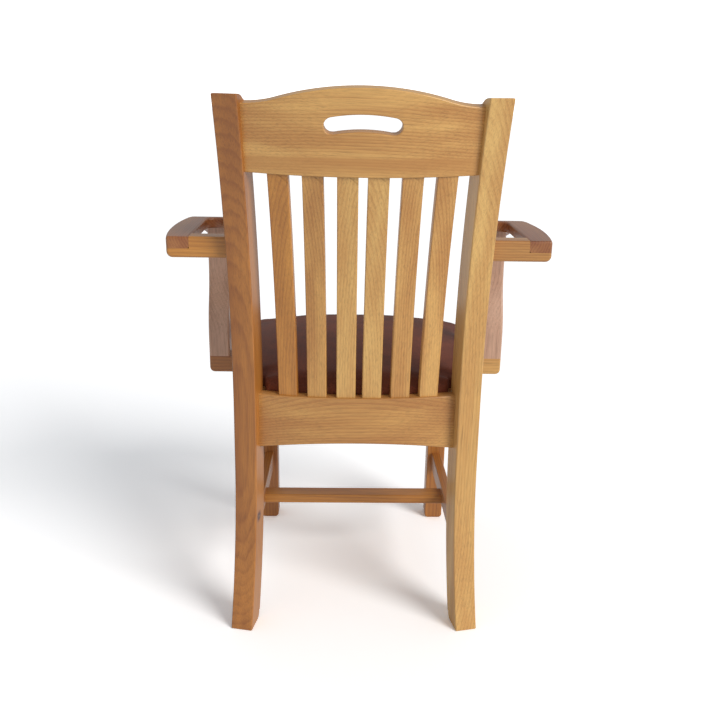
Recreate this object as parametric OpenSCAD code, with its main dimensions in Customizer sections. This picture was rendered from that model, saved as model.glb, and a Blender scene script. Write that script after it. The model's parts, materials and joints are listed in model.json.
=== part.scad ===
// Wooden armchair: a slatted, bowed back between two sawn posts, a padded leather seat and
// open arms on curved supports. The chair faces -Y, stands on Z = 0 and is centred on its plan.

/* [Rear posts] */
// Height of the rear posts
post_h = 969; // [940:1:1000]
// Width of a post across its back face
post_w = 41; // [38:1:44]
// Depth of a post, front to back
post_t = 48; // [45:1:50]
// Half the width over the posts' outer rear corners at seat height
post_x = 221; // [218:1:226]
// Turn of each post in plan, to follow the bowed rails
post_turn = 12; // [10:0.5:13]
// Inward lean of each post
post_lean = 0.5; // [0:0.1:0.8]
// How far the heads rake back
head_rake = 72; // [66:1:78]
// How far the feet kick back
foot_rake = 42; // [36:1:48]
// Radius on the front corner of each head
head_round = 36; // [24:1:38]
// Radius on the front corner of each rear foot
foot_round = 14; // [8:1:18]

/* [Back] */
// Thickness of the two back rails
rail_t = 23; // [21:1:24]
// How far the back rails bow back at the middle
rail_bow = 23; // [18:1:26]
// Height of the top rail's lower edge
top_rail_z = 850; // [840:1:856]
// Height of the top rail at the posts
top_rail_h = 107; // [100:1:112]
// Backward tilt of the top rail
top_rail_tilt = 11; // [10:0.5:12]
// Radius of the top rail's crown
crown_r = 440; // [400:5:480]
// Radius where the crown runs out towards the posts
crown_end_r = 180; // [150:5:200]
// Length of the hand slot
slot_w = 121; // [100:1:140]
// Height of the hand slot
slot_h = 26; // [22:1:30]
// Height of the lower rail's top edge, level with the seat frame
frame_z = 456; // [450:1:460]
// Height of the lower back rail at the posts
low_rail_h = 103; // [96:1:110]
// Rise of the arch under the lower back rail
low_rail_arch = 16; // [8:1:20]
// Width of a slat
slat_w = 34; // [30:1:36]
// Thickness of a slat
slat_t = 14; // [12:1:15]
// Places of the slats along the rails
slat_x = [125, 73, 21, -25, -76, -128];

/* [Seat frame] */
// Thickness of the front legs
leg_w = 40; // [36:1:42]
// Half the width over the front legs
leg_x = 214.5; // [212:0.5:218]
// How far the back of the front legs stands ahead of the posts
leg_y = 395; // [385:1:405]
// Height of the seat rails
seat_rail_h = 62; // [54:1:66]
// Thickness of the seat rails
seat_rail_t = 22; // [20:1:24]
// Width of the stretcher stock
stretcher_w = 36; // [32:1:38]
// Thickness of the stretcher stock
stretcher_t = 20; // [18:1:21]
// Height of the side stretchers' lower edge
stretcher_z = 133; // [120:1:150]
// How far the cross stretcher's back stands ahead of the posts
cross_y = 207; // [180:1:230]

/* [Seat] */
// Half the width of the seat at the front
seat_front_x = 236; // [230:1:240]
// Half the width of the seat at the back
seat_rear_x = 220; // [214:1:224]
// How far the seat's front edge stands ahead of the posts' backs
seat_front_y = 455; // [450:1:462]
// How far the middle of the seat's back edge stands ahead of the posts' backs
seat_rear_y = 18; // [16:1:26]
// Half the width of the seat between the posts
seat_tongue_x = 167; // [160:1:168]
// Height of the crowned seat above the floor
seat_top = 499; // [494:1:504]
// Thickness of the seat board
board_t = 12; // [9:1:15]
// Thickness of the leather
leather_t = 1.5; // [1.2:0.1:2]

/* [Arms] */
// Height of the arm rails
arm_z = 739; // [725:1:745]
// Thickness of an arm rail
arm_t = 20; // [18:1:22]
// Half the width over the arms at their widest
arm_x = 334; // [326:1:338]
// Side of the square crosspiece
cross_t = 36; // [34:1:38]
// Outer face of the supports, from the middle
support_x = 294; // [290:1:296]
// Width of a support
support_w = 41; // [38:1:42]
// Thickness of a support, front to back
support_t = 42; // [38:1:44]
// How far the foot of a support stands ahead of the posts
support_y = 212; // [205:1:220]
// Forward sweep of a support between its foot and its top
support_sweep = 34; // [28:1:38]
// Height of an arm block
block_h = 34; // [30:1:38]
// Height of the arm blocks' upper face above the floor
block_top = 461; // [456:1:464]

/* [Hidden] */
$fn = 96;

clear = 200;            // cutting shapes reach this far past what they cut
LEFT = 0;               // the sitter faces -Y, so the sitter's left is at +X
RIGHT = 1;
back_y = 181.2;         // the posts' back line at seat height, measured from the plan's middle
oak = "#c08a4a";
oak_pale = "#d2a05c";
oak_dark = "#a8713a";
steel = "silver";

// ---- helpers ----

// Points of an arc round (cx, cy), both ends included
function arc(cx, cy, r, from, to, steps) =
    [for (i = [0:steps]) let (a = from + (to - from) * i / steps) [cx + r * cos(a), cy + r * sin(a)]];

// Everything is drawn with Y = 0 on the posts' back line, for the +X side, and is put in place here
module side(s) translate([0, back_y, 0]) mirror([s, 0, 0]) children();
module middle() translate([0, back_y, 0]) children();
module both() for (m = [0, 1]) mirror([m, 0, 0]) children();

// Outline drawn in the YZ plane, made solid from x0 to x1
module side_plate(x0, x1)
    translate([x0, 0, 0]) rotate([90, 0, 90]) linear_extrude(x1 - x0) children();

// ---- rear posts ----

bend_top = 410;         // above this height the post curves back
bend_low = 320;         // below this height the foot kicks back
head_r = ((post_h - bend_top) * (post_h - bend_top) + head_rake * head_rake) / (2 * head_rake);
foot_r = (bend_low * bend_low + foot_rake * foot_rake) / (2 * foot_rake);
foot_front = foot_r - sqrt(pow(foot_r + post_t, 2) - bend_low * bend_low);
head_front = head_r - sqrt(pow(head_r + post_t, 2) - pow(post_h - bend_top, 2));

// The frame of a post: X across its back face with 0 at the outer corner, Y front to back
module in_post()
    translate([post_x, 0, bend_top]) rotate([0, 0, -post_turn]) rotate([0, -post_lean, 0])
        translate([0, 0, -bend_top]) children();

module post_ring(r) difference() { circle(r + post_t, $fn = 360); circle(r, $fn = 360); }

module post_profile() difference() {
    union() {
        intersection() {
            translate([head_r, bend_top]) post_ring(head_r);
            translate([-post_t - 10, bend_top]) square([clear, post_h - bend_top]);
        }
        translate([-post_t, bend_low]) square([post_t, bend_top - bend_low]);
        intersection() {
            translate([foot_r, bend_low]) post_ring(foot_r);
            translate([-post_t - 10, -6]) square([clear, bend_low + 6]);
        }
    }
    translate([head_front + head_round, post_h - head_round])
        difference() {
            translate([-head_round - 20, 0]) square([head_round + 20, head_round + 20]);
            circle(head_round);
        }
    translate([foot_front + foot_round, foot_round])
        difference() {
            translate([-foot_round - 20, -foot_round - 20]) square([foot_round + 20, foot_round + 20]);
            circle(foot_round);
        }
}

module post_solid() difference() {
    in_post() side_plate(-post_w, 0) post_profile();
    translate([0, -clear, -clear]) cube([2 * clear, 2 * clear, clear]);
}

// All that lies outward of a post's inner face, for cutting rails to length
module beyond_post() in_post()
    translate([-post_w, -clear, frame_z - clear]) cube([2 * clear, 3 * clear, 4 * clear]);

// ---- tenons, shared by the piece that has them and the piece that takes them ----

tenon_t = 11;           // thickness of the back rails' tenons
tenon_root = 6;         // a tenon's solid starts this far inside its own piece
seat_tenon_t = 12;      // thickness of the seat rails' tenons
seat_tenon_h = 44;      // height of the seat rails' tenons
seat_tenon_z = frame_z - 52;
side_tenon_x = 193;     // inner face of the side seat rails' tenons

module top_tenon() in_post() translate([-post_w - tenon_root, 21.4, top_rail_z + 12])
    rotate([-top_rail_tilt, 0, 0]) cube([tenon_root + 20, tenon_t, top_rail_h - 27]);
module low_tenon() in_post() translate([-post_w - tenon_root, -40, frame_z - low_rail_h + 13])
    cube([tenon_root + 18, tenon_t, low_rail_h - 25]);
module side_rail_rear_tenon()
    translate([side_tenon_x, -66, seat_tenon_z]) cube([seat_tenon_t, 42, seat_tenon_h]);
module side_rail_front_tenon()
    translate([side_tenon_x, -leg_y - 20, seat_tenon_z]) cube([seat_tenon_t, 20 + tenon_root, seat_tenon_h]);
module front_rail_tenon() translate([leg_x - leg_w - tenon_root, -leg_y - 32, seat_tenon_z])
    cube([tenon_root + 17, seat_tenon_t, seat_tenon_h]);

// ---- back rails and slats ----

top_end_y = 44;         // back face of the top rail where it meets the posts
low_end_y = -14;        // back face of the lower rail where it meets the posts
rail_half = 185;        // half the span that the bow is measured over
blank_half = 214;       // half the length of a rail before it is cut to fit the posts
blank_y = 120;          // the blanks are drawn this far either side of their own line
rail_r = (rail_half * rail_half + rail_bow * rail_bow) / (2 * rail_bow);
crown_half = 190;       // where the crown's run-out ends
crown_x = crown_half * crown_r / (crown_r + crown_end_r);
crown_angle = asin(crown_x / crown_r);
crown_rise = (crown_r + crown_end_r) * (1 - cos(crown_angle));
slot_rise = 84;         // middle of the hand slot above the rail's lower edge
slot_r = 245;           // radius of the slot's arch
slot_angle = asin((slot_w - slot_h) / 2 / slot_r);

module bowed_plan() intersection() {
    translate([0, rail_bow - rail_r]) difference() {
        circle(rail_r, $fn = 360);
        circle(rail_r - rail_t, $fn = 360);
    }
    translate([-blank_half - 1, -80]) square([2 * blank_half + 2, 80 + rail_bow + 10]);
}

module top_rail_outline() difference() {
    polygon(concat(
        [[-blank_half, 0], [blank_half, 0], [blank_half, top_rail_h]],
        arc(crown_half, top_rail_h + crown_end_r, crown_end_r, -90, -90 - crown_angle, 8),
        arc(0, top_rail_h + crown_rise - crown_r, crown_r, 90 - crown_angle, 90 + crown_angle, 24),
        arc(-crown_half, top_rail_h + crown_end_r, crown_end_r, -90 + crown_angle, -90, 8),
        [[-blank_half, top_rail_h]]));
    hand_slot();
}

module hand_slot() translate([0, slot_rise - slot_r]) polygon(concat(
    arc(0, 0, slot_r + slot_h / 2, 90 - slot_angle, 90 + slot_angle, 12),
    arc(-slot_r * sin(slot_angle), slot_r * cos(slot_angle), slot_h / 2, 105, 255, 8),
    arc(0, 0, slot_r - slot_h / 2, 90 + slot_angle, 90 - slot_angle, 12),
    arc(slot_r * sin(slot_angle), slot_r * cos(slot_angle), slot_h / 2, 285, 435, 8)));

module top_rail_blank() translate([0, top_end_y, top_rail_z]) rotate([-top_rail_tilt, 0, 0])
    intersection() {
        linear_extrude(160) bowed_plan();
        translate([0, blank_y, 0]) rotate([90, 0, 0]) linear_extrude(2 * blank_y) top_rail_outline();
    }

module low_rail_blank() translate([0, low_end_y, 0])
    intersection() {
        translate([0, 0, frame_z - low_rail_h]) linear_extrude(low_rail_h) bowed_plan();
        translate([0, blank_y, 0]) rotate([90, 0, 0]) linear_extrude(2 * blank_y) difference() {
            translate([-blank_half, frame_z - low_rail_h]) square([2 * blank_half, low_rail_h]);
            translate([0, frame_z - low_rail_h + low_rail_arch - arch_r]) circle(arch_r, $fn = 360);
        }
    }
arch_half = 176;        // half the span of the arch under the lower rail
arch_r = (arch_half * arch_half + low_rail_arch * low_rail_arch) / (2 * low_rail_arch);

// A slat is sawn to a shallow curve, like the posts. Its ends are housed in the rails.
slat_lean = 8.4;        // backward lean of the line from foot to head
slat_chord = 398;       // along that line, rail to rail
slat_r = 2475;          // radius of its curve
slat_housed = 12;       // depth of each mortise
slat_inset = (rail_t - slat_t) / 2;

module slat(x) {
    plan_r = rail_r - slat_inset;
    turn = asin(x / rail_r);
    foot_y = low_end_y + rail_bow - rail_r + plan_r * cos(turn);
    mid = slat_chord / 2;
    back_x = sqrt(slat_r * slat_r - mid * mid);
    translate([plan_r * sin(turn), foot_y, frame_z]) rotate([0, 0, -turn]) rotate([-slat_lean, 0, 0])
        side_plate(-slat_w / 2, slat_w / 2) intersection() {
            translate([back_x, mid]) difference() {
                circle(slat_r + slat_t, $fn = 360);
                circle(slat_r, $fn = 360);
            }
            translate([-60, -slat_housed]) square([120, slat_chord + 2 * slat_housed]);
        }
}
module all_slats() for (x = slat_x) slat(x);

// ---- seat frame ----

side_rail_x = 188;      // inner face of the side seat rails
inner_y = leg_y + 15;   // inner face of the front seat rail
frame_low = frame_z - seat_rail_h;

leg_round = 8;          // radius at the foot of a front leg
module leg_solid() translate([0, -leg_y, 0]) rotate([90, 0, 0]) linear_extrude(leg_w)
    difference() {
        translate([leg_x - leg_w, 0]) square([leg_w, frame_z]);
        for (m = [0, 1]) translate([leg_x - leg_w / 2, 0]) mirror([m, 0])
            translate([leg_w / 2 - leg_round, leg_round]) difference() {
                translate([0, -2 * leg_round]) square([2 * leg_round, 2 * leg_round]);
                circle(leg_round);
            }
    }

stretcher_turn = 1;     // the side stretchers spread a little towards the back
stretcher_x = 184;      // inner face of a side stretcher at the front leg
module in_stretcher()
    translate([stretcher_x, -leg_y, stretcher_z]) rotate([0, 0, -stretcher_turn]) children();
stretcher_l = 374;      // length of a side stretcher before it is cut to the post's curve
cross_half = 187.5;     // half the length of the cross stretcher before it is cut to fit
cross_w = 35;           // width of the cross stretcher, which lies flat
module stretcher_front_tenon() in_stretcher()
    translate([5, -18, 6]) cube([stretcher_t / 2, 18 + tenon_root, stretcher_w - 12]);
module stretcher_rear_tenon() in_stretcher()
    translate([5, stretcher_l - 34, 6]) cube([stretcher_t / 2, 36, stretcher_w - 12]);
module cross_blank() translate([-cross_half, -cross_y - cross_w, stretcher_z + 3])
    cube([2 * cross_half, cross_w, stretcher_t - 1]);
module cross_tenon() translate([180, -cross_y - cross_w + 6, stretcher_z + 7])
    cube([18, cross_w - 12, 11]);

module corner_block_front() difference() {
    translate([0, 0, frame_low + 4]) linear_extrude(46)
        polygon([[side_rail_x, -inner_y], [side_rail_x - 66, -inner_y], [side_rail_x, -inner_y + 66]]);
    leg_solid();
}
module corner_block_rear() difference() {
    translate([0, 0, frame_low + 4]) linear_extrude(46)
        polygon([[side_rail_x, -30], [side_rail_x, -108], [128, -50], [128, -20]]);
    low_rail_blank();
    post_solid();
}

// A countersunk screw along +Z with its head's face at Z = 0 and its point at Z = length
module screw(length, d = 4) {
    cylinder(h = d * 0.6, r1 = d, r2 = d / 2);
    cylinder(h = length - d, r = d / 2);
    translate([0, 0, length - d]) cylinder(h = d, r1 = d / 2, r2 = 0.3);
}
module front_block_screws() for (z = [frame_low + 18, frame_low + 38]) {
    translate([side_rail_x - 36, -inner_y + 30, z]) rotate([90, 0, 0]) screw(40);
    translate([side_rail_x - 30, -inner_y + 36, z - 8]) rotate([0, 90, 0]) screw(42);
}
module rear_block_screws() for (z = [frame_low + 14, frame_low + 34])
    translate([side_rail_x - 22, -78, z]) rotate([0, 90, 0]) screw(36);
module seat_screw_places() {
    translate([side_rail_x - 20, -inner_y + 20, frame_low + 4]) screw(50);
    translate([side_rail_x - 20, -66, frame_low + 4]) screw(50);
}

// ---- seat ----

frame_gap = 0.2;        // the board and the foam stay this far inside the leather
leather_lap = 14;       // the leather turns in this far under the board

// The seat's outline: round front corners, notched round the posts, and bowed like the rail behind it
function seat_back(x) = -seat_rear_y - x * x / (2 * (rail_r - rail_t));
front_r = 46;           // radius of the seat's front corners
notch_y = -50;          // the seat's edge in front of the posts
notch_r = 16;           // radius of its corners there
function seat_points(inset) = concat(
    arc(seat_front_x - front_r, -seat_front_y + front_r, front_r - inset, -90, 0, 10),
    arc(seat_rear_x - notch_r, notch_y - notch_r, notch_r - inset, 0, 90, 6),
    [[seat_tongue_x - inset, notch_y - inset]],
    [for (i = [8:-1:-8]) let (x = i * (seat_tongue_x - inset) / 8) [x, seat_back(x) - inset]],
    [[inset - seat_tongue_x, notch_y - inset]],
    arc(-seat_rear_x + notch_r, notch_y - notch_r, notch_r - inset, 90, 180, 6),
    arc(-seat_front_x + front_r, -seat_front_y + front_r, front_r - inset, 180, 270, 10));

// The crowned pad from z0 upwards: the outline, under a shallow dome, with its top edges eased.
// Each skin lies inset inside the leather's outer face.
crown_dome = 1900;      // radius of the dome
pad_edge = 22;          // radius on the pad's top edges
pad_edge_z = 489;       // height where that radius meets the top
side_turn = atan((seat_front_x - seat_rear_x) / (seat_front_y - 112));

module eased_square(size, inset) difference() {
    translate([-size, 400]) square([size - inset, clear]);
    translate([-pad_edge, pad_edge_z - pad_edge]) difference() {
        square([pad_edge + 1, clear]);
        circle(pad_edge - inset);
    }
}

module seat_pad(inset, z0) intersection() {
    translate([0, 0, z0]) linear_extrude(seat_top - z0) polygon(seat_points(inset));
    translate([0, (notch_y - seat_front_y) / 2, seat_top - crown_dome])
        sphere(crown_dome - inset, $fn = 360);
    mirror([0, 1, 0]) side_plate(-300, 300) translate([seat_front_y, 0]) eased_square(500, inset);
    side_plate(-300, 300) translate([-seat_rear_y, 0]) eased_square(500, inset);
    for (m = [0, 1]) mirror([m, 0, 0]) translate([seat_front_x, front_r - seat_front_y, 0])
        rotate([0, 0, side_turn]) translate([0, 500, 0]) rotate([90, 0, 0])
            linear_extrude(700) eased_square(600, inset);
}

board_z = frame_z + leather_t;
module staple() {
    translate([-5, -0.4, 0]) cube([10, 0.8, 0.8]);
    for (x = [-5, 4.2]) translate([x, -0.4, 0]) cube([0.8, 0.8, 7]);
}
module staple_rows() for (x = [-150:50:150], y = [8 - seat_front_y, seat_back(x) - 7])
    translate([x, y, frame_z - 0.8]) staple();

// ---- arms ----

arm_bulge_r = 577;      // radius of the arm rail's outer edge, seen from above
arm_bulge_y = -105;     // where that edge is widest
arm_inner = 286.5;      // inner edge of the straight part of the arm rail
hole_r = 19;            // radius of the opening's round front end
hole_y = -189;          // its centre, front to back
hook_w = 12;            // width of the hook that closes the opening
tip_r = 22;             // radius of the arm rail's front corners
roll_y = -205;          // the arm rail starts to roll down here
roll_r = 190;           // radius of that roll
arm_front = -326;       // front end of the arm rail
post_side = 205;        // inside the post, where the crosspiece starts
sweep_z = 500;          // a support starts to sweep forward here
sweep_h = 145;          // and is upright again this much higher

module arm_plan() polygon(concat(
    arc(arm_x - arm_bulge_r, arm_bulge_y, arm_bulge_r, asin(-arm_bulge_y / arm_bulge_r),
        asin((arm_front + tip_r + 2 - arm_bulge_y) / arm_bulge_r), 14),
    arc(278, arm_front + tip_r, tip_r, -8, -90, 6),
    arc(268, arm_front + tip_r, tip_r, -90, -172, 6),
    arc(arm_inner - 2 * hole_r - hook_w / 2, -168, hook_w / 2, 180, 0, 8),
    arc(arm_inner - hole_r, hole_y, hole_r, 180, 360, 14),
    [[arm_inner, 0]]));

module arm_side() {
    translate([roll_y, arm_z - arm_t]) square([-roll_y, arm_t]);
    intersection() {
        translate([roll_y, arm_z - roll_r]) difference() {
            circle(roll_r, $fn = 360);
            circle(roll_r - arm_t, $fn = 360);
        }
        translate([roll_y - roll_r, arm_z - roll_r]) square([roll_r, roll_r]);
    }
}

module arm_rail_solid() intersection() {
    translate([0, 0, arm_z - 120]) linear_extrude(140) arm_plan();
    side_plate(200, 360) arm_side();
}

end_x = arm_x - pow(arm_bulge_y, 2) / (2 * arm_bulge_r);
end_turn = asin((-arm_bulge_y - cross_t / 2) / arm_bulge_r);
end_round = 10;         // radius under the outer ends of the crosspieces and blocks

// The crosspiece's outer end is cut flush with the curved edge of the arm rail
module crosspiece_end() intersection() {
    translate([post_side, -cross_t, arm_z - cross_t]) cube([200, cross_t, cross_t]);
    translate([end_x, 0, arm_z - cross_t]) rotate([0, 0, end_turn]) translate([0, 60, 0])
        rotate([90, 0, 0]) linear_extrude(160) difference() {
            translate([-200, 0]) square([200, cross_t]);
            translate([-end_round, end_round]) difference() {
                translate([0, -2 * end_round]) square([2 * end_round, 2 * end_round]);
                circle(end_round);
            }
        }
}
module crosspiece_solid() difference() {
    crosspiece_end();
    post_solid();
}
module arm_lap() translate([arm_inner, -cross_t, arm_z - arm_t]) cube([60, cross_t, arm_t]);

bend_a = 2 * atan(support_sweep / sweep_h);
bend_r = sweep_h / (2 * sin(bend_a));
// The back edge of a support, foot to head, moved forward by d
function support_edge(d) = concat(
    [[-support_y - d, block_top]],
    [for (p = arc(-support_y - bend_r, sweep_z, bend_r, 0, bend_a, 10)) [p[0] - d, p[1]]],
    [for (p = arc(-support_y - support_sweep + bend_r, sweep_z + sweep_h, bend_r, 180 + bend_a, 180, 10))
        [p[0] - d, p[1]]],
    [[-support_y - support_sweep - d, 720]]);
function reversed(list) = [for (i = [len(list) - 1:-1:0]) list[i]];

module support_solid() side_plate(support_x - support_w, support_x) intersection() {
    polygon(concat(support_edge(0), reversed(support_edge(support_t))));
    union() {
        translate([-400, 400]) square([300, 230]);
        translate([roll_y, arm_z - roll_r]) circle(roll_r - arm_t, $fn = 360);
    }
}

block_in = side_rail_x + seat_rail_t;
block_rebate = 24;      // the block is cut down this far out, to clear the seat's edge
head_dowel_z = 690;     // lower end of the dowels between a support and its arm rail
module block_solid() translate([0, -support_y, 0]) rotate([90, 0, 0]) linear_extrude(support_t)
    difference() {
        translate([block_in, block_top - block_h]) square([support_x - block_in, block_h]);
        translate([block_in - 1, frame_z]) square([block_rebate, block_h]);
        translate([support_x - end_round, block_top - block_h + end_round]) difference() {
            translate([0, -2 * end_round]) square([2 * end_round, 2 * end_round]);
            circle(end_round);
        }
    }

module block_screws() for (y = [-support_y - 12, -support_y - 30])
    translate([side_rail_x, y, frame_z - 16]) rotate([0, 90, 0]) screw(64, 5);
module support_dowels() {
    mid_x = support_x - support_w / 2;
    for (y = [-support_y - 12, -support_y - 30])
        translate([mid_x, y, block_top - 20]) cylinder(h = 44, r = 5);
}
module arm_head_dowels() for (x = [support_x - 26, support_x - 12])
    translate([x, -support_y - support_sweep - 14, head_dowel_z]) cylinder(h = 32, r = 4);
module crosspiece_dowels() for (z = [arm_z - 26, arm_z - 10])
    translate([post_side - 8, -8, z]) rotate([0, 90, 0]) cylinder(h = 50, r = 4);
module dowels() {
    support_dowels();
    arm_head_dowels();
    crosspiece_dowels();
}

// ---- sub-parts ----

module rear_post(s) color(oak_pale) side(s) difference() {
    post_solid();
    top_tenon();
    low_tenon();
    side_rail_rear_tenon();
    stretcher_rear_tenon();
    crosspiece_dowels();
}

module top_rail() color(oak) middle() {
    difference() {
        top_rail_blank();
        both() beyond_post();
        all_slats();
    }
    both() top_tenon();
}

module lower_back_rail() color(oak) middle() {
    difference() {
        low_rail_blank();
        both() beyond_post();
        all_slats();
    }
    both() low_tenon();
}

module back_slat(i) color(i % 2 == 0 ? oak : oak_pale) middle() slat(slat_x[i - 1]);

module front_leg(s) color(oak_dark) side(s) difference() {
    leg_solid();
    side_rail_front_tenon();
    front_rail_tenon();
    stretcher_front_tenon();
}

module front_seat_rail() color(oak) middle() difference() {
    union() {
        translate([-leg_x + leg_w, -inner_y - seat_rail_t, frame_low])
            cube([2 * (leg_x - leg_w), seat_rail_t, seat_rail_h]);
        both() front_rail_tenon();
    }
    both() front_block_screws();
}

module side_seat_rail(s) color(oak) side(s) difference() {
    union() {
        difference() {
            translate([side_rail_x, -leg_y, frame_low]) cube([seat_rail_t, leg_y - 38, seat_rail_h]);
            post_solid();
        }
        side_rail_rear_tenon();
        side_rail_front_tenon();
    }
    front_block_screws();
    rear_block_screws();
    block_screws();
}

module side_stretcher(s) color(oak_dark) side(s) difference() {
    union() {
        difference() {
            in_stretcher() cube([stretcher_t, stretcher_l, stretcher_w]);
            post_solid();
            translate([150, -20, 100]) cube([100, 60, 100]);
        }
        stretcher_front_tenon();
        difference() { stretcher_rear_tenon(); translate([150, -2, 100]) cube([100, 60, 100]); }
    }
    cross_tenon();
}

module cross_stretcher() color(oak) middle() {
    difference() {
        cross_blank();
        both() in_stretcher() translate([0, 0, -50]) cube([100, stretcher_l, 150]);
    }
    both() cross_tenon();
}

module corner_blocks() color(oak_dark) middle() both() difference() {
    union() {
        corner_block_front();
        corner_block_rear();
    }
    front_block_screws();
    rear_block_screws();
    seat_screw_places();
}

module frame_screws() color(steel) middle() both() {
    front_block_screws();
    rear_block_screws();
}
module seat_screws() color(steel) middle() both() seat_screw_places();
module arm_block_screws() color(steel) middle() both() block_screws();
module arm_dowels() color(oak_pale) middle() both() dowels();
module cover_staples() color(steel) middle() staple_rows();

module seat_board() color(oak_dark) middle() difference() {
    translate([0, 0, board_z]) linear_extrude(board_t) polygon(seat_points(leather_t + frame_gap));
    both() seat_screw_places();
    staple_rows();
}
module seat_foam() color("khaki") middle()
    seat_pad(leather_t + frame_gap, board_z + board_t + frame_gap);
module seat_cover() color("#4a3230") middle() difference() {
    seat_pad(0, frame_z);
    seat_pad(leather_t, board_z);
    translate([0, 0, frame_z - 1]) linear_extrude(4) polygon(seat_points(leather_lap));
    staple_rows();
}

module arm_rail(s) color(oak) side(s) difference() {
    arm_rail_solid();
    arm_head_dowels();
}
module arm_crosspiece(s) color(oak_pale) side(s) difference() {
    crosspiece_solid();
    arm_lap();
    crosspiece_dowels();
}
module arm_support(s) color(oak_dark) side(s) difference() {
    support_solid();
    arm_head_dowels();
    support_dowels();
}
module arm_block(s) color(oak) side(s) difference() {
    block_solid();
    support_dowels();
    block_screws();
}

rear_post(LEFT);  // rear_post_left
rear_post(RIGHT);  // rear_post_right
top_rail();
lower_back_rail();
back_slat(1);  // slat_1
back_slat(2);  // slat_2
back_slat(3);  // slat_3
back_slat(4);  // slat_4
back_slat(5);  // slat_5
back_slat(6);  // slat_6
front_leg(LEFT);  // front_leg_left
front_leg(RIGHT);  // front_leg_right
front_seat_rail();
side_seat_rail(LEFT);  // side_seat_rail_left
side_seat_rail(RIGHT);  // side_seat_rail_right
side_stretcher(LEFT);  // side_stretcher_left
side_stretcher(RIGHT);  // side_stretcher_right
cross_stretcher();
arm_rail(LEFT);  // arm_rail_left
arm_rail(RIGHT);  // arm_rail_right
arm_crosspiece(LEFT);  // arm_crosspiece_left
arm_crosspiece(RIGHT);  // arm_crosspiece_right
arm_support(LEFT);  // arm_support_left
arm_support(RIGHT);  // arm_support_right
arm_block(LEFT);  // arm_block_left
arm_block(RIGHT);  // arm_block_right
seat_board();
seat_foam();
seat_cover();
corner_blocks();
frame_screws();
seat_screws();
arm_block_screws();
arm_dowels();
cover_staples();
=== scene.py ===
"""Wooden armchair. The joinery is sawn, eased and lacquered, and the seat is a stuffed leather pad."""

import json
import math

import bmesh
import bpy
from mathutils import Euler, Matrix, Vector
from mathutils.bvhtree import BVHTree

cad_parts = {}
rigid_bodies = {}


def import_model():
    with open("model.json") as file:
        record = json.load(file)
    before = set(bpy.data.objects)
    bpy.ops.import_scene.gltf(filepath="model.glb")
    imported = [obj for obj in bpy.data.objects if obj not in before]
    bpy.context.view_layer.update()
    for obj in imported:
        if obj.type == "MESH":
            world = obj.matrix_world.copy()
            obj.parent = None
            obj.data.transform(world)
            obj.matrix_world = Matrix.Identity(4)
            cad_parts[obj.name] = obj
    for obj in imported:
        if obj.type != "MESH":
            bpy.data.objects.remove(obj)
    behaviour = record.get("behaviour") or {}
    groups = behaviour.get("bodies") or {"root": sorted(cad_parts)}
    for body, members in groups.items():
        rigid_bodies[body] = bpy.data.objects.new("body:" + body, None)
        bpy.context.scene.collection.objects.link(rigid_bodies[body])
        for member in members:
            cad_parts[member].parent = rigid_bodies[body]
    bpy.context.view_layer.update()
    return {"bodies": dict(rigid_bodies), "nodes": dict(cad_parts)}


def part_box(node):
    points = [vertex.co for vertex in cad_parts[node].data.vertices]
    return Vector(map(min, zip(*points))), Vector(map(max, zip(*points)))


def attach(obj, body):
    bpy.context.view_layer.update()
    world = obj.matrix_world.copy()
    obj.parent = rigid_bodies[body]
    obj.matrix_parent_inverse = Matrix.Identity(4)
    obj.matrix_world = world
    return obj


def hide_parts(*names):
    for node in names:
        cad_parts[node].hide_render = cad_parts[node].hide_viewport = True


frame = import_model()
BODY = next(iter(frame["bodies"]))

bl_info = {
    "name": "Wooden armchair",
    "version": (1, 0, 0),
    "blender": (4, 5, 0),
    "location": "View3D > Sidebar > Armchair",
    "description": "Finishes a slatted wooden armchair with eased edges, wood grain and a leather seat",
    "category": "Object",
}

MM = 0.001

# A board's grain runs up, across or along the chair. These turns bring the grain to local Z.
GRAIN_TURN = {
    "up": (0.0, 0.0, 0.0),
    "across": (0.0, -math.pi / 2, 0.0),
    "along": (math.pi / 2, 0.0, 0.0),
}

# Each board: CAD node, grain, tone, the way from the tree's heart to the board's middle in mm
# (across the grain, two numbers), and the lean of the heart against the board in degrees.
POSTS = (
    # The left post's darker amber against the right post's pale tone is partly the boards' own colour and
    # partly painted shade, for the light that falls from the right
    ("rear_post_left", "up", "amber", (4, 74), (0.6, 0.4)),
    ("rear_post_right", "up", "pale", (-70, 46), (-1.2, 0.8)),
)
BACK = (
    ("top_rail", "across", "honey", (138, 26), (0.0, 1.2)),
    ("lower_back_rail", "across", "honey_deep", (92, 60), (0.0, -1.6)),
    ("slat_1", "up", "amber_light", (40, 22), (0.5, 0.9)),
    ("slat_2", "up", "honey_deep", (-55, 18), (-0.6, 0.4)),
    ("slat_3", "up", "pale", (60, 30), (0.8, -0.5)),
    ("slat_4", "up", "pale", (-48, 44), (-0.9, 0.7)),
    ("slat_5", "up", "honey", (66, 12), (0.7, 0.3)),
    ("slat_6", "up", "honey", (-72, 20), (-0.8, -0.6)),
)
BASE = (
    ("front_leg_left", "up", "amber", (52, 40), (0.8, 0.5)),
    ("front_leg_right", "up", "amber", (-44, 50), (-0.7, 0.6)),
    ("front_seat_rail", "across", "honey", (80, 40), (0.0, 1.0)),
    ("side_seat_rail_left", "along", "honey", (60, 66), (0.9, 0.0)),
    ("side_seat_rail_right", "along", "honey", (-64, 58), (-0.9, 0.0)),
    ("side_stretcher_left", "along", "amber", (46, 42), (1.1, 0.4)),
    ("side_stretcher_right", "along", "amber", (-50, 38), (-1.0, 0.6)),
    ("cross_stretcher", "across", "amber_light", (58, 50), (0.4, 0.9)),
    ("corner_blocks", "across", "honey", (60, 60), (0.0, 0.5)),
)
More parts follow.
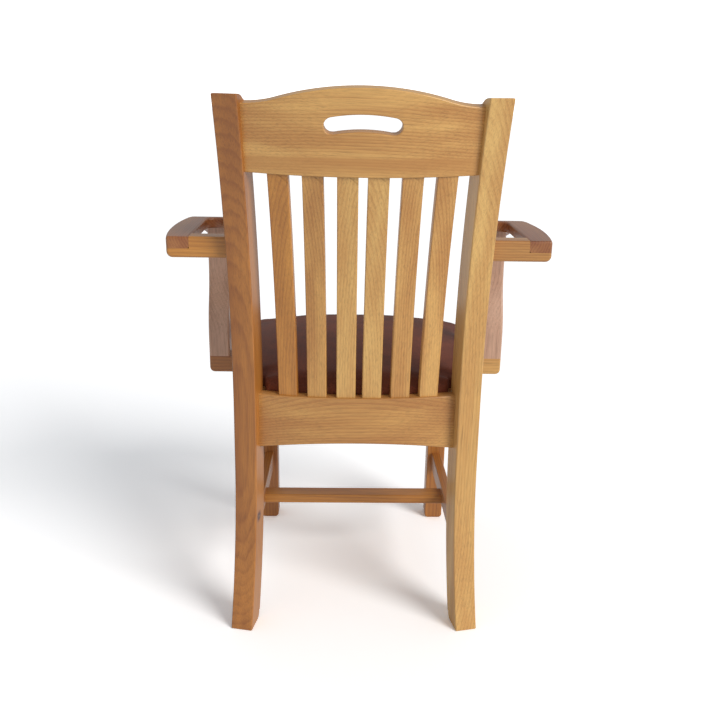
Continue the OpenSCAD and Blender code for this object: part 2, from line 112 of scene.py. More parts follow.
ARMS = (
    ("arm_rail_left", "along", "russet", (34, 48), (1.0, 0.6)),
    ("arm_rail_right", "along", "russet", (-38, 44), (-1.2, 0.4)),
    ("arm_crosspiece_left", "across", "amber_light", (60, 34), (0.5, 0.8)),
    ("arm_crosspiece_right", "across", "honey_deep", (66, -30), (-0.5, 0.8)),
    # The arm supports' rosy tone holds a painted sheen, the pale pink grey of the sky's reflection on their
    # faces, over the wood's own colour
    ("arm_support_left", "up", "rosy_sheen", (110, 130), (1.6, 0.6)),
    ("arm_support_right", "up", "rosy_sheen", (-110, 126), (-1.4, 0.8)),
    ("arm_block_left", "across", "amber", (60, 30), (0.6, 0.8)),
    ("arm_block_right", "across", "pale", (-56, 36), (-0.6, 0.8)),
)

# How much of the eased edge the boards of the back, of the base and of the arms get
BACK_EASE = 0.9
BASE_EASE = 0.8
ARM_EASE = 1.7

# The redder strip along the top rail, above its lower edge
REDDER_FROM = 4 * MM
REDDER_TO = 34 * MM

# Every board takes its own stretch of the timber, shifted by this much for each letter of its name
BOARD_SHIFT = 0.37

# The middle of the dead knot on the inner side of the left rear post
KNOT = (0.1783, 0.1776, 0.2156)

# Wood tones: soft early wood between the rings, dense late wood in them, and the warm streaks
TONES = {
    "pale": ("#dfb46b", "#b48346", "#c6914f"),
    "honey": ("#dcab62", "#a36834", "#bb8242"),
    "honey_deep": ("#cd9a54", "#976030", "#ae7539"),
    "amber_light": ("#cb8c3d", "#945924", "#aa6d2b"),
    "amber": ("#b77732", "#834a1c", "#975b23"),
    "russet": ("#a86f3d", "#733a1c", "#8a4b26"),
    # The rosy tone is wood with a painted sheen mixed in: the pale pink grey of the sky's reflection on the
    # arm supports
    "rosy_sheen": ("#cea78e", "#a67d6a", "#b68c73"),
}


def linear(colour):
    """A #rrggbb colour as the linear RGBA that a shader works in"""
    channels = [int(colour[i : i + 2], 16) / 255 for i in (1, 3, 5)]
    return [c / 12.92 if c <= 0.04045 else ((c + 0.055) / 1.055) ** 2.4 for c in channels] + [1.0]


class ArmchairTimber(bpy.types.PropertyGroup):
    ring: bpy.props.FloatProperty(
        name="Ring width", description="Width of a year's growth", default=0.0046, min=0.002, unit="LENGTH"
    )
    ease: bpy.props.FloatProperty(
        name="Eased edge", description="Radius left on the long edges by sanding", default=0.0024,
        unit="LENGTH",
    )
    fibre: bpy.props.FloatProperty(
        name="Fibre width", description="Width of the fine streaks, drawn coarser than real fibres",
        default=0.0012, min=0.0005, unit="LENGTH",
    )
    gloss: bpy.props.FloatProperty(
        name="Lacquer", description="How much of the satin lacquer lies over the wood", default=0.6,
        subtype="FACTOR",
    )


class ArmchairLeather(bpy.types.PropertyGroup):
    hide: bpy.props.FloatVectorProperty(
        name="Hide", description="Main colour of the leather", subtype="COLOR", size=4,
        default=linear("#834a37"),
    )
    shade: bpy.props.FloatVectorProperty(
        name="Creases", description="Colour in the leather's creases", subtype="COLOR", size=4,
        default=linear("#5f3124"),
    )
    worn: bpy.props.FloatVectorProperty(
        name="Worn edge", description="Colour where the leather is stretched over an edge",
        subtype="COLOR", size=4, default=linear("#8a4f3a"),
    )
    pebble: bpy.props.FloatProperty(
        name="Pebble", description="Size of the hide's pebbles, drawn coarser than life", default=0.0022,
        unit="LENGTH",
    )
    plump: bpy.props.FloatProperty(
        name="Plump", description="How far the softened skin is let out again", default=0.0012, unit="LENGTH"
    )
    droop: bpy.props.FloatProperty(
        name="Droop", description="How far the pad falls towards its front corners", default=0.016,
        unit="LENGTH",
    )
    swell: bpy.props.FloatProperty(
        name="Swell", description="The most that the stuffing may push the leather out", default=0.004,
        unit="LENGTH",
    )


class ArmchairStage(bpy.types.PropertyGroup):
    floor: bpy.props.FloatVectorProperty(
        name="Floor", description="Colour of the floor", subtype="COLOR", size=4, default=linear("#f0f3f7")
    )
    sky: bpy.props.FloatProperty(
        name="Surround", description="Brightness of the light from all round", default=0.43, min=0.0
    )
    paper: bpy.props.FloatProperty(
        name="Paper", description="How much brighter the paper backdrop looks than it lights",
        default=1.62, min=1.0,
    )
    key: bpy.props.FloatProperty(
        name="Key light", description="Strength of the low, soft light from behind and the right",
        default=2.25, min=0.0,
    )


def put(tree, kind, settings=None, links=None, **attributes):
    """Adds one shader node with its settings, attributes and links"""
    node = tree.nodes.new(kind)
    for name, value in attributes.items():
        setattr(node, name, value)
    for name, value in (settings or {}).items():
        node.inputs[name].default_value = value
    for name, (source, output) in (links or {}).items():
        tree.links.new(source.outputs[output], node.inputs[name])
    return node


def ramp(tree, source, output, stops):
    """Adds a colour ramp with the given stops after a node"""
    node = put(tree, "ShaderNodeValToRGB", links={"Fac": (source, output)})
    while len(node.color_ramp.elements) < len(stops):
        node.color_ramp.elements.new(0.5)
    for element, (place, colour) in zip(node.color_ramp.elements, stops):
        element.position = place
        element.color = colour
    return node


def grey(value):
    return (value, value, value, 1.0)


def new_material(name):
    material = bpy.data.materials.new(name)
    material.use_nodes = True
    material.node_tree.nodes.clear()
    return material, material.node_tree


def lacquered_oak(name, node, grain, tone, heart, lean, knot=None, band=None):
    """Oak, sawn, sanded and satin lacquered: year rings, fine fibres and warm streaks run through it"""
    timber = bpy.context.scene.armchair_timber
    early, late, warm = (linear(c) for c in TONES[tone])
    material, tree = new_material(name)
    turn = Euler([a + math.radians(b) for a, b in zip(GRAIN_TURN[grain], (lean[0], lean[1], 0.0))])
    low, high = (Vector(c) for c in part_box(node))
    start = Vector((heart[0] * MM, heart[1] * MM, BOARD_SHIFT * len(name)))
    offset = start - turn.to_matrix() @ ((low + high) / 2)

    place = put(tree, "ShaderNodeTexCoord")
    board = put(
        tree, "ShaderNodeMapping", {"Location": offset, "Rotation": turn}, {"Vector": (place, "Object")}
    )
    # Rings wander slowly along the grain, so their pattern is drawn out 16 times
    drawn = put(tree, "ShaderNodeMapping", {"Scale": (1.0, 1.0, 0.06)}, {"Vector": (board, "Vector")})
    rings = put(
        tree, "ShaderNodeTexWave",
        {"Scale": math.pi / 10 / timber.ring, "Distortion": 5.0, "Detail": 3.0, "Detail Scale": 0.55,
         "Detail Roughness": 0.55},
        {"Vector": (drawn, "Vector")}, wave_type="RINGS", rings_direction="Z", wave_profile="SAW",
    )
    ring_stops = [(0.0, grey(0.1)), (0.45, grey(0.15)), (0.85, grey(0.85)), (1.0, grey(0.3))]
    ring_tone = ramp(tree, rings, "Fac", ring_stops)
    wide = put(
        tree, "ShaderNodeTexNoise", {"Scale": 22.0, "Detail": 3.0, "Roughness": 0.55},
        {"Vector": (drawn, "Vector")},
    )
    wide_tone = ramp(tree, wide, "Fac", [(0.4, grey(0.0)), (0.62, grey(1.0))])
    fibre_place = put(tree, "ShaderNodeMapping", {"Scale": (1.0, 1.0, 0.022)}, {"Vector": (board, "Vector")})
    fibres = put(
        tree, "ShaderNodeTexNoise", {"Scale": 1.0 / timber.fibre, "Detail": 4.0, "Roughness": 0.7},
        {"Vector": (fibre_place, "Vector")},
    )
    fibre_tone = ramp(tree, fibres, "Fac", [(0.3, grey(0.68)), (0.5, grey(1.0)), (0.72, grey(1.1))])
    # Rings fade in and out along a board
    fade = put(tree, "ShaderNodeMath", {1: 0.85}, {0: (ring_tone, "Color")}, operation="MULTIPLY")
    strength = put(tree, "ShaderNodeMath", {1: 0.3}, {0: (wide_tone, "Color")}, operation="ADD")
    ring_share = put(
        tree, "ShaderNodeMath", None, {0: (fade, "Value"), 1: (strength, "Value")}, operation="MULTIPLY",
        use_clamp=True,
    )
    wood = put(
        tree, "ShaderNodeMix", {"A": early, "B": late}, {"Factor": (ring_share, "Value")}, data_type="RGBA"
    )
    streak = put(tree, "ShaderNodeMath", {1: 0.72}, {0: (wide_tone, "Color")}, operation="MULTIPLY")
    warmed = put(
        tree, "ShaderNodeMix", {"B": warm}, {"Factor": (streak, "Value"), "A": (wood, "Result")},
        data_type="RGBA",
    )
    fibred = put(
        tree, "ShaderNodeMix", {"Factor": 1.0}, {"A": (warmed, "Result"), "B": (fibre_tone, "Color")},
        data_type="RGBA", blend_type="MULTIPLY",
    )
    colour = fibred
    if knot:
        # A dead knot: a dark bark ring round a paler heart
        far = put(tree, "ShaderNodeVectorMath", {1: knot}, {0: (place, "Object")}, operation="DISTANCE")
        wobble = put(
            tree, "ShaderNodeTexNoise", {"Scale": 160.0, "Detail": 2.0}, {"Vector": (place, "Object")}
        )
        rough_far = put(
            tree, "ShaderNodeMath", {1: 6 * MM}, {0: (wobble, "Fac"), 2: (far, "Value")},
            operation="MULTIPLY_ADD",
        )
        scaled = put(tree, "ShaderNodeMath", {1: 50.0}, {0: (rough_far, "Value")}, operation="MULTIPLY")
        knot_stops = [(0.2, linear("#b98a64")), (0.36, linear("#3a160e")), (0.62, linear("#6e3520"))]
        inside = ramp(tree, scaled, "Value", knot_stops)
        share = ramp(tree, scaled, "Value", [(0.5, grey(1.0)), (0.85, grey(0.0))])
        colour = put(
            tree, "ShaderNodeMix", None,
            {"Factor": (share, "Color"), "A": (fibred, "Result"), "B": (inside, "Color")}, data_type="RGBA",
        )
    if band:
        # A redder strip of heartwood runs the length of the board between two heights
        axes = put(tree, "ShaderNodeSeparateXYZ", None, {"Vector": (place, "Object")})
        strip = put(
            tree, "ShaderNodeMapRange", {"From Min": band[0], "From Max": band[1]}, {"Value": (axes, "Z")}
        )
        strip_stops = [(0.0, grey(0.25)), (0.3, grey(0.5)), (0.8, grey(0.7)), (1.0, grey(0.0))]
        strip_share = ramp(tree, strip, "Result", strip_stops)
        colour = put(
            tree, "ShaderNodeMix", {"B": warm}, {"Factor": (strip_share, "Color"), "A": (fibred, "Result")},
            data_type="RGBA",
        )
    rough = put(tree, "ShaderNodeMapRange", {"To Min": 0.4, "To Max": 0.54}, {"Value": (fibres, "Fac")})
    relief = put(
        tree, "ShaderNodeBump", {"Strength": 0.12, "Distance": 0.4 * MM}, {"Height": (fibre_tone, "Color")}
    )
    shader = put(
        tree, "ShaderNodeBsdfPrincipled",
        {"IOR": 1.5, "Coat Weight": timber.gloss, "Coat Roughness": 0.25, "Coat IOR": 1.5},
        {"Base Color": (colour, "Result"), "Roughness": (rough, "Result"), "Normal": (relief, "Normal")},
    )
    put(tree, "ShaderNodeOutputMaterial", None, {"Surface": (shader, "BSDF")})
    return material


def raw_plywood():
    """Plywood, rotary cut and left raw: broad soft figure, no gloss"""
    material, tree = new_material("Raw plywood")
    place = put(tree, "ShaderNodeTexCoord")
    drawn = put(tree, "ShaderNodeMapping", {"Scale": (0.12, 1.0, 1.0)}, {"Vector": (place, "Object")})
    figure = put(
        tree, "ShaderNodeTexNoise", {"Scale": 60.0, "Detail": 5.0, "Distortion": 1.2},
        {"Vector": (drawn, "Vector")},
    )
    colour = ramp(tree, figure, "Fac", [(0.3, linear("#9c7748")), (0.7, linear("#c6a06b"))])
    shader = put(
        tree, "ShaderNodeBsdfPrincipled", {"Roughness": 0.75, "IOR": 1.5}, {"Base Color": (colour, "Color")}
    )
    put(tree, "ShaderNodeOutputMaterial", None, {"Surface": (shader, "BSDF")})
    return material


def zinc_plated_steel():
    """Zinc-plated steel, cold formed: bright grey, with a fine mottle from the plating"""
    material, tree = new_material("Zinc-plated steel")
    place = put(tree, "ShaderNodeTexCoord")
    mottle = put(tree, "ShaderNodeTexNoise", {"Scale": 900.0, "Detail": 2.0}, {"Vector": (place, "Object")})
    colour = ramp(tree, mottle, "Fac", [(0.3, linear("#8f9194")), (0.7, linear("#b9bbbd"))])
    rough = put(tree, "ShaderNodeMapRange", {"To Min": 0.28, "To Max": 0.42}, {"Value": (mottle, "Fac")})
    shader = put(tree, "ShaderNodeBsdfPrincipled", {"Metallic": 1.0},
                 {"Base Color": (colour, "Color"), "Roughness": (rough, "Result")})
    put(tree, "ShaderNodeOutputMaterial", None, {"Surface": (shader, "BSDF")})
    return material


def aniline_leather():
    """Dyed leather, drawn tight over foam: pebbled, a little glossy, worn lighter along its lower edge"""
    leather = bpy.context.scene.armchair_leather
    material, tree = new_material("Dyed brown leather")
    low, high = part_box("seat_cover")
    place = put(tree, "ShaderNodeTexCoord")
    pebbles = put(tree, "ShaderNodeTexVoronoi", {"Scale": 1.0 / leather.pebble, "Randomness": 1.0},
                  {"Vector": (place, "Object")}, feature="SMOOTH_F1")
    cloud = put(
        tree, "ShaderNodeTexNoise", {"Scale": 14.0, "Detail": 5.0, "Roughness": 0.6},
        {"Vector": (place, "Object")},
    )
    cloud_tone = ramp(tree, cloud, "Fac", [(0.3, grey(0.0)), (0.7, grey(1.0))])
    body = put(
        tree, "ShaderNodeMix", {"A": leather.shade, "B": leather.hide}, {"Factor": (cloud_tone, "Color")},
        data_type="RGBA",
    )
    axes = put(tree, "ShaderNodeSeparateXYZ", None, {"Vector": (place, "Object")})
    edge = put(tree, "ShaderNodeMapRange",
               {"From Min": low[2] + 0.002, "From Max": low[2] + 0.017, "To Min": 0.75, "To Max": 0.0},
               {"Value": (axes, "Z")}, interpolation_type="SMOOTHSTEP")
    worn = put(
        tree, "ShaderNodeMix", {"B": leather.worn}, {"Factor": (edge, "Result"), "A": (body, "Result")},
        data_type="RGBA",
    )
    # Painted shade: the pebbles darken towards their edges, in the hollows between them
    pebble_hollow_shade = ramp(tree, pebbles, "Distance", [(0.1, grey(1.05)), (0.7, grey(0.78))])
    colour = put(tree, "ShaderNodeMix", {"Factor": 1.0}, {"A": (worn, "Result"), "B": (pebble_hollow_shade, "Color")},
                 data_type="RGBA", blend_type="MULTIPLY")
    relief = put(
        tree, "ShaderNodeBump", {"Strength": 0.35, "Distance": 0.5 * MM}, {"Height": (pebbles, "Distance")},
        invert=True,
    )
    rough = put(tree, "ShaderNodeMapRange", {"To Min": 0.4, "To Max": 0.58}, {"Value": (cloud, "Fac")})
    shader = put(
        tree, "ShaderNodeBsdfPrincipled",
        {"IOR": 1.5, "Specular IOR Level": 0.14},
        {"Base Color": (colour, "Result"), "Roughness": (rough, "Result"), "Normal": (relief, "Normal")},
    )
    put(tree, "ShaderNodeOutputMaterial", None, {"Surface": (shader, "BSDF")})
    return material


def only(piece):
    """Selects one piece and nothing else"""
    if bpy.context.object and bpy.context.object.mode != "OBJECT":
        bpy.ops.object.mode_set(mode="OBJECT")
    bpy.ops.object.select_all(action="DESELECT")
    piece.select_set(True)
    bpy.context.view_layer.objects.active = piece


def apply(piece, name, kind, **settings):
    """Adds a modifier with its settings and applies it"""
    only(piece)
    modifier = piece.modifiers.new(name, kind)
    for key, value in settings.items():
        setattr(modifier, key, value)
    bpy.ops.object.modifier_apply(modifier=modifier.name)


def merged_copy(node, name):
    """A new piece on a merged copy of a CAD node's mesh"""
    mesh = frame["nodes"][node].data.copy()
    mesh.name = name
    mesh.materials.clear()
    piece = bpy.data.objects.new(name, mesh)
    bpy.context.scene.collection.objects.link(piece)
    only(piece)
    bpy.ops.mesh.customdata_custom_splitnormals_clear()
    bpy.ops.object.mode_set(mode="EDIT")
    bpy.ops.mesh.select_all(action="SELECT")
    bpy.ops.mesh.remove_doubles(threshold=0.01 * MM)
    bpy.ops.mesh.dissolve_limited(angle_limit=math.radians(0.3))
    bpy.ops.object.mode_set(mode="OBJECT")
    return piece


def neighbours(node):
    """The surfaces of the nodes beside a board, to tell where it is jointed"""
    trees = []
    low, high = (Vector(c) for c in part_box(node))
    for other, obj in frame["nodes"].items():
        if other == node:
            continue
        other_low, other_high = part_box(other)
        if all(other_low[i] < high[i] + MM and other_high[i] > low[i] - MM for i in range(3)):
            mesh = obj.data
            faces = [polygon.vertices[:] for polygon in mesh.polygons]
            trees.append(BVHTree.FromPolygons([vertex.co for vertex in mesh.vertices], faces))
    return trees


def is_jointed(edge, trees):
    """True where most of an edge lies against another piece"""
    start, end = (v.co for v in edge.verts)
    touching = 0
    for share in (0.1, 0.3, 0.5, 0.7, 0.9):
        spot = start.lerp(end, share)
        if any(tree.find_nearest(spot, 0.4 * MM)[0] is not None for tree in trees):
            touching += 1
    return touching >= 3


def ease_edges(piece, node, radius):
    """Rounds every sharp outer edge that isn't in a joint, as sanding does"""
    trees = neighbours(node)
    only(piece)
    bpy.ops.object.mode_set(mode="EDIT")
    bpy.ops.mesh.select_mode(type="EDGE")
    bpy.ops.mesh.select_all(action="DESELECT")
    mesh = bmesh.from_edit_mesh(piece.data)
    for edge in mesh.edges:
        sharp = edge.is_manifold and edge.is_convex and edge.calc_face_angle(0.0) > math.radians(35)
        edge.select_set(sharp and not is_jointed(edge, trees))
    bmesh.update_edit_mesh(piece.data)
    bpy.ops.mesh.bevel(offset=radius, offset_type="OFFSET", segments=3, profile=0.5, affect="EDGES",
                       clamp_overlap=False, miter_outer="SHARP", loop_slide=False)
    bpy.ops.object.mode_set(mode="OBJECT")
    only(piece)
    bpy.ops.object.shade_smooth_by_angle(angle=math.radians(32))
    apply(piece, "Flat faces", "WEIGHTED_NORMAL", keep_sharp=True, weight=80)


def finish_board(row, ease_share=1.0, knot=None, band=None):
    """Makes one board from its CAD node: eased, with its own cut of the timber"""
    node, grain, tone, heart, lean = row
    timber = bpy.context.scene.armchair_timber
    title = node.replace("_", " ")
    piece = merged_copy(node, node + "_board")
    ease_edges(piece, node, timber.ease * ease_share)
    finish = lacquered_oak(f"Lacquered oak, {title}", node, grain, tone, heart, lean, knot, band)
    piece.data.materials.append(finish)
    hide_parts(node)
    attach(piece, BODY)


def repaint(node, material):
    """Gives a CAD node that stays as it is its finish"""
    obj = frame["nodes"][node]
    obj.data.materials.clear()
    obj.data.materials.append(material)


class ARMCHAIR_OT_posts(bpy.types.Operator):
    """Saw and ease the two rear posts"""

    bl_idname = "armchair.posts"
    bl_label = "Rear posts"

    def execute(self, context):
        for row in POSTS:
            finish_board(row, knot=KNOT if row[0] == "rear_post_left" else None)
        return {"FINISHED"}


class ARMCHAIR_OT_back(bpy.types.Operator):
    """Make the two bowed rails and the slats"""

    bl_idname = "armchair.back"
    bl_label = "Back rails and slats"

    def execute(self, context):
        rail_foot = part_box("top_rail")[0][2]
        band = (rail_foot + REDDER_FROM, rail_foot + REDDER_TO)
        for row in BACK:
            finish_board(row, BACK_EASE, band=band if row[0] == "top_rail" else None)
        return {"FINISHED"}


class ARMCHAIR_OT_base(bpy.types.Operator):
    """Make the front legs, seat rails and stretchers"""

    bl_idname = "armchair.base"
    bl_label = "Legs, seat rails and stretchers"

    def execute(self, context):
        for row in BASE:
            finish_board(row, BASE_EASE)
        return {"FINISHED"}


class ARMCHAIR_OT_arms(bpy.types.Operator):
    """Make the arm rails with their crosspieces, supports and blocks"""

    bl_idname = "armchair.arms"
    bl_label = "Arms"

    def execute(self, context):
        for row in ARMS:
            finish_board(row, ARM_EASE)
        return {"FINISHED"}


PAD_START = (1.008, 1.006, 0.985, 1.0)  # the pad's size before it swells, against the foam's
SPARE_HEM = 9 * MM      # the pad starts this much too deep, and is trimmed once it is soft
SKIN_GRID = 4.5 * MM    # spacing of the pad's skin before it is refined
TACKED = 2.5 * MM       # the skin is held up to this height above its lower face
SWELL_STEPS = 20        # steps that the stuffing takes to fill the leather
SIDE_FADE = 9 * MM      # above the board, the drawn sides run out into the crown over this height
LEATHER_SHARE = 1.0075  # the leather's outline against the foam's
REAR_DEPTH = 30 * MM    # the part of the seat that reaches back between the posts
REAR_FILL = 3.4 * MM    # how far the pad's back edge bulges towards the rail
REAR_HANG = 3 * MM      # how much lower the leather hangs there
REAR_BLEND = 12 * MM    # length over which it comes down to that
HEM_SHARE = 0.945       # the opening in the leather underneath, against the foam's outline


def stuffed_pad():
    """A closed crowned shape about as wide as the leather, and too deep, that the stuffing then swells"""
    piece = merged_copy("seat_foam", "seat_pad")
    cover_low, cover_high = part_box("seat_cover")
    foam_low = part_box("seat_foam")[0]
    only(piece)
    for vertex in piece.data.vertices:
        if vertex.co.z < foam_low[2] + MM:
            vertex.co.z = cover_low[2] - SPARE_HEM
    middle = Vector(((cover_low[0] + cover_high[0]) / 2, (cover_low[1] + cover_high[1]) / 2, cover_low[2]))
    sized = Matrix.Translation(middle) @ Matrix.Diagonal(PAD_START) @ Matrix.Translation(-middle)
    piece.data.transform(sized)
    apply(piece, "Even skin", "REMESH", mode="VOXEL", voxel_size=SKIN_GRID)
    return piece


def swell_pad(piece, limit):
    """Lets the stuffing press the leather out, held along its lower face"""
    floor = min(v.co.z for v in piece.data.vertices)
    tacked = piece.vertex_groups.new(name="tacked")
    tacked.add([v.index for v in piece.data.vertices if v.co.z < floor + TACKED], 1.0, "REPLACE")
    rest = [v.co.copy() for v in piece.data.vertices]
    modifier = piece.modifiers.new("Stuffing", "CLOTH")
    cloth = modifier.settings
    cloth.use_pressure = True
    cloth.uniform_pressure_force = 4.0
    cloth.mass = 0.4
    cloth.tension_stiffness = 22.0
    cloth.compression_stiffness = 22.0
    cloth.bending_stiffness = 2.0
    cloth.vertex_group_mass = tacked.name
    cloth.effector_weights.gravity = 0.0
    modifier.collision_settings.use_collision = False
    scene = bpy.context.scene
    for step in range(SWELL_STEPS):
        scene.frame_set(step + 1)
    swollen = piece.evaluated_get(bpy.context.evaluated_depsgraph_get())
    places = [v.co.copy() for v in swollen.data.vertices]
    piece.modifiers.remove(modifier)
    scene.frame_set(1)
    for vertex, start, end in zip(piece.data.vertices, rest, places):
        move = end - start
        if move.length > limit:
            move *= limit / move.length
        vertex.co = start + move


def settle_corners(piece, droop):
    """Lowers the pad towards its two front corners, where the leather is pulled tightest"""
    low, high = (Vector(c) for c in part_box("seat_cover"))
    flat_half = 0.3 * high.x
    for vertex in piece.data.vertices:
        spot = vertex.co
        aside = max(0.0, abs(spot.x) - flat_half) / (high.x - flat_half)
        forward = 1.6 * (high.y - spot.y) / (high.y - low.y) - 0.4
        height = (spot.z - low.z) / (high.z - low.z)
        vertex.co.z -= droop * aside**2 * min(1.0, max(0.0, forward)) * max(0.0, height)


def dress_sides(piece):
    """Draws the skin out over the board's edge, and out to the rail behind it, fading above the board"""
    low, high = (Vector(c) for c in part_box("seat_board"))
    spots = seat_outline(LEATHER_SHARE)
    behind_posts = high.y - REAR_DEPTH
    spots = [Vector((x, y + REAR_FILL if y > behind_posts else y)) for x, y in spots]
    wall = bpy.data.objects.new("seat_sides", bpy.data.meshes.new("seat_sides"))
    bpy.context.scene.collection.objects.link(wall)
    prism(wall, spots, low.z - 60 * MM, high.z + 60 * MM)
    sides = piece.vertex_groups.new(name="sides")
    foot = min(v.co.z for v in piece.data.vertices) + 3 * MM
    for vertex in piece.data.vertices:
        share = min(1.0, 1.0 - (vertex.co.z - high.z) / SIDE_FADE)
        if vertex.co.z > foot and share > 0:
            sides.add([vertex.index], share, "REPLACE")
    apply(piece, "Drawn tight", "SHRINKWRAP", target=wall, wrap_method="NEAREST_SURFACEPOINT",
          vertex_group=sides.name)
    bpy.data.objects.remove(wall)


def lower_rear(piece, amount):
    """Lowers the pad between the posts by an amount that starts behind them"""
    behind_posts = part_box("seat_board")[1][1] - REAR_DEPTH
    for vertex in piece.data.vertices:
        vertex.co.z -= amount * min(1.0, max(0.0, (vertex.co.y - behind_posts) / REAR_BLEND))


def trim_hem(piece):
    """Cuts the pad along the leather's lower edge, a little lower between the posts, and closes it"""
    only(piece)
    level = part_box("seat_cover")[0][2] + 0.1 * MM
    lower_rear(piece, -REAR_HANG)
    bpy.ops.object.mode_set(mode="EDIT")
    bpy.ops.mesh.select_all(action="SELECT")
    bpy.ops.mesh.bisect(plane_co=(0, 0, level), plane_no=(0, 0, 1), use_fill=True, clear_inner=True)
    bpy.ops.mesh.quads_convert_to_tris()
    bpy.ops.object.mode_set(mode="OBJECT")
    lower_rear(piece, REAR_HANG)


def open_underside(piece):
    """Cuts the pad away where the board sits, and inside the leather's turned-in edge"""
    low, high = (Vector(c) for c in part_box("seat_board"))
    for label, share, bottom, top in (
        ("board", 1.001, low.z - 0.1 * MM, high.z + 0.1 * MM),
        ("opening", HEM_SHARE, low.z - 8 * MM, low.z + 2 * MM),
    ):
        cutter = bpy.data.objects.new("cutter_" + label, bpy.data.meshes.new("cutter_" + label))
        bpy.context.scene.collection.objects.link(cutter)
        prism(cutter, seat_outline(share), bottom, top)
        apply(piece, "Underside", "BOOLEAN", operation="DIFFERENCE", solver="EXACT", object=cutter)
        bpy.data.objects.remove(cutter)


def seat_outline(share):
    """Points round the foam's lower face, scaled by a share about the seat's middle"""
    foam = merged_copy("seat_foam", "foam_outline")
    face = min(foam.data.polygons, key=lambda side: (round(side.center.z, 4), -side.area))
    spots = [foam.data.vertices[i].co.xy for i in face.vertices]
    low, high = (Vector(c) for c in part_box("seat_foam"))
    middle = (low.xy + high.xy) / 2
    bpy.data.objects.remove(foam)
    return [middle + (spot - middle) * share for spot in spots]


def prism(obj, outline, bottom, top):
    """Fills an empty mesh with an upright prism on an outline"""
    mesh = bmesh.new()
    face = mesh.faces.new([mesh.verts.new((x, y, bottom)) for x, y in outline])
    raised = bmesh.ops.extrude_face_region(mesh, geom=[face])["geom"]
    for item in raised:
        if isinstance(item, bmesh.types.BMVert):
            item.co.z = top
    bmesh.ops.recalc_face_normals(mesh, faces=mesh.faces)
    mesh.to_mesh(obj.data)
    mesh.free()


class ARMCHAIR_OT_seat(bpy.types.Operator):
    """Upholster the seat: leather drawn over foam on a plywood board"""

    bl_idname = "armchair.seat"
    bl_label = "Leather seat"

    def execute(self, context):
        leather = context.scene.armchair_leather
        piece = stuffed_pad()
        swell_pad(piece, leather.swell)
        apply(piece, "Soften", "SMOOTH", factor=0.5, iterations=4)
        apply(piece, "Fine skin", "SUBSURF", levels=1, render_levels=1)
        apply(piece, "Full corners", "DISPLACE", strength=leather.plump, mid_level=0.0)
        settle_corners(piece, leather.droop)
        dress_sides(piece)
        trim_hem(piece)
        open_underside(piece)
        only(piece)
        bpy.ops.object.shade_smooth_by_angle(angle=math.radians(50))
        piece.data.materials.clear()
        piece.data.materials.append(aniline_leather())
        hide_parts("seat_cover", "seat_foam")
        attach(piece, BODY)
        repaint("seat_board", raw_plywood())
        return {"FINISHED"}


class ARMCHAIR_OT_fixings(bpy.types.Operator):
    """Finish the dowels, screws and staples"""

    bl_idname = "armchair.fixings"
    bl_label = "Dowels, screws and staples"

    def execute(self, context):
        steel = zinc_plated_steel()
        for node in ("frame_screws", "seat_screws", "arm_block_screws", "cover_staples"):
            repaint(node, steel)
        dowel = lacquered_oak("Beech dowel", "arm_dowels", "up", "pale", (30, 30), (0.0, 0.0))
        repaint("arm_dowels", dowel)
        return {"FINISHED"}


KEY_PLACE = (-3.0, 2.7, 2.2)
KEY_SPREAD = 30         # degrees that the key light spans in the sky, which softens its shadows
CAMERA_PLACE = (0.0315, 1.5827, 0.9881)
CAMERA_TURN = (18.26, 1.42, 1.02)   # degrees: down, towards the sitter's right, and over
CAMERA_LENS = 42.11     # mm, on a 36 mm wide sensor


def soft_light(name, place, spread, strength, colour):
    """A distant, soft studio light that shines from a place towards the chair's foot"""
    lamp = bpy.data.lights.new(name, "SUN")
    lamp.angle = math.radians(spread)
    lamp.energy = strength
    lamp.color = linear(colour)[:3]
    obj = bpy.data.objects.new(name, lamp)
    obj.location = place
    obj.rotation_euler = (-Vector(place)).to_track_quat("-Z", "Y").to_euler()
    bpy.context.scene.collection.objects.link(obj)


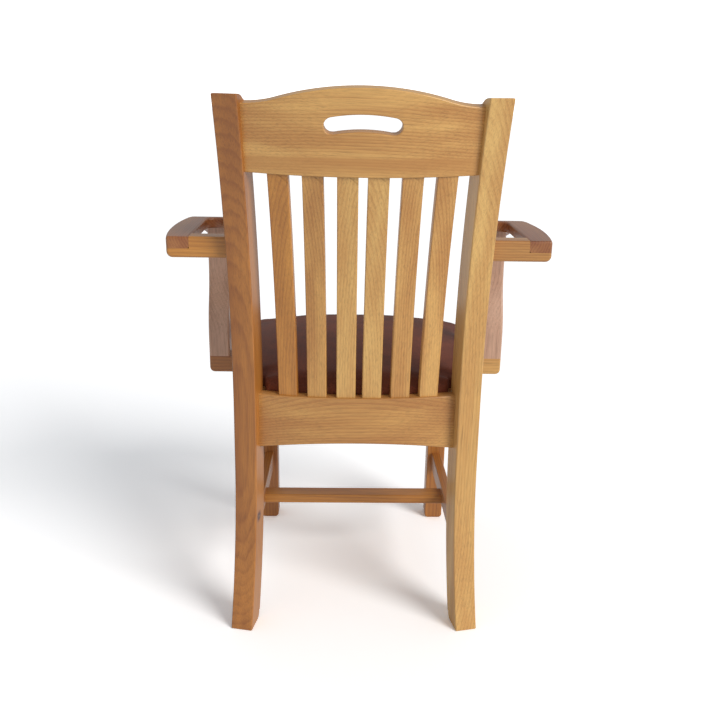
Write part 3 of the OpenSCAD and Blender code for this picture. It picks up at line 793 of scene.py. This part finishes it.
class ARMCHAIR_OT_stage(bpy.types.Operator):
    """Set the pale floor, the soft light and the camera"""

    bl_idname = "armchair.stage"
    bl_label = "Studio"

    def execute(self, context):
        stage = context.scene.armchair_stage
        bpy.ops.object.select_all(action="DESELECT")
        bpy.ops.mesh.primitive_circle_add(vertices=96, radius=30.0, fill_type="NGON")
        floor = bpy.context.object
        floor.name = "studio_floor"
        material, tree = new_material("Matt white floor")
        seen = put(tree, "ShaderNodeLightPath")
        paper = put(tree, "ShaderNodeBsdfDiffuse", {"Color": stage.floor})
        brighter = [channel * stage.paper for channel in stage.floor]
        bright = put(tree, "ShaderNodeBsdfDiffuse", {"Color": brighter})
        mixed = put(
            tree, "ShaderNodeMixShader", None,
            {"Fac": (seen, "Is Camera Ray"), 1: (paper, "BSDF"), 2: (bright, "BSDF")},
        )
        put(tree, "ShaderNodeOutputMaterial", None, {"Surface": (mixed, "Shader")})
        floor.data.materials.append(material)

        world = bpy.data.worlds.new("White surround")
        world.use_nodes = True
        world.node_tree.nodes.clear()
        seen = put(world.node_tree, "ShaderNodeLightPath")
        strength = put(world.node_tree, "ShaderNodeMapRange", {"To Min": stage.sky, "To Max": stage.paper},
                       {"Value": (seen, "Is Camera Ray")})
        surround = put(world.node_tree, "ShaderNodeBackground", {"Color": (1.0, 1.0, 1.0, 1.0)},
                       {"Strength": (strength, "Result")})
        put(world.node_tree, "ShaderNodeOutputWorld", None, {"Surface": (surround, "Background")})
        context.scene.world = world
        # Colours are shown as they are, with no film look
        context.scene.view_settings.view_transform = "Standard"
        soft_light("Key", KEY_PLACE, KEY_SPREAD, stage.key, "#fffaf4")

        # The camera stands behind the chair, a little to its left, and looks down at it
        pitch, yaw, roll = (math.radians(angle) for angle in CAMERA_TURN)
        ahead = math.cos(pitch)
        forward = Vector((-math.sin(yaw) * ahead, -math.cos(yaw) * ahead, -math.sin(pitch)))
        level = Vector((-math.cos(yaw), math.sin(yaw), 0.0))
        upright = level.cross(forward)
        right = level * math.cos(roll) + upright * math.sin(roll)
        up = upright * math.cos(roll) - level * math.sin(roll)
        lens = bpy.data.cameras.new("Camera")
        lens.sensor_width = 36.0
        lens.lens = CAMERA_LENS
        camera = bpy.data.objects.new("Camera", lens)
        turn = Matrix((right, up, -forward)).transposed().to_4x4()
        camera.matrix_world = Matrix.Translation(CAMERA_PLACE) @ turn
        context.scene.collection.objects.link(camera)
        context.scene.camera = camera
        return {"FINISHED"}


class ARMCHAIR_PT_panel(bpy.types.Panel):
    bl_label = "Armchair"
    bl_idname = "ARMCHAIR_PT_panel"
    bl_space_type = "VIEW_3D"
    bl_region_type = "UI"
    bl_category = "Armchair"

    def draw(self, context):
        layout = self.layout
        for step in STEPS:
            layout.operator(step.bl_idname)
        scene = context.scene
        for group in (scene.armchair_timber, scene.armchair_leather, scene.armchair_stage):
            box = layout.box()
            for name in group.bl_rna.properties.keys():
                if name not in ("rna_type", "name"):
                    box.prop(group, name)


STEPS = (
    ARMCHAIR_OT_stage,
    ARMCHAIR_OT_posts,
    ARMCHAIR_OT_back,
    ARMCHAIR_OT_base,
    ARMCHAIR_OT_arms,
    ARMCHAIR_OT_seat,
    ARMCHAIR_OT_fixings,
)
CLASSES = (ArmchairTimber, ArmchairLeather, ArmchairStage, *STEPS, ARMCHAIR_PT_panel)


def register():
    for cls in CLASSES:
        bpy.utils.register_class(cls)
    bpy.types.Scene.armchair_timber = bpy.props.PointerProperty(type=ArmchairTimber)
    bpy.types.Scene.armchair_leather = bpy.props.PointerProperty(type=ArmchairLeather)
    bpy.types.Scene.armchair_stage = bpy.props.PointerProperty(type=ArmchairStage)


def unregister():
    del bpy.types.Scene.armchair_stage
    del bpy.types.Scene.armchair_leather
    del bpy.types.Scene.armchair_timber
    for cls in reversed(CLASSES):
        bpy.utils.unregister_class(cls)


def main():
    register()
    for step in STEPS:
        group, name = step.bl_idname.split(".")
        getattr(getattr(bpy.ops, group), name)()


if __name__ == "__main__":
    main()
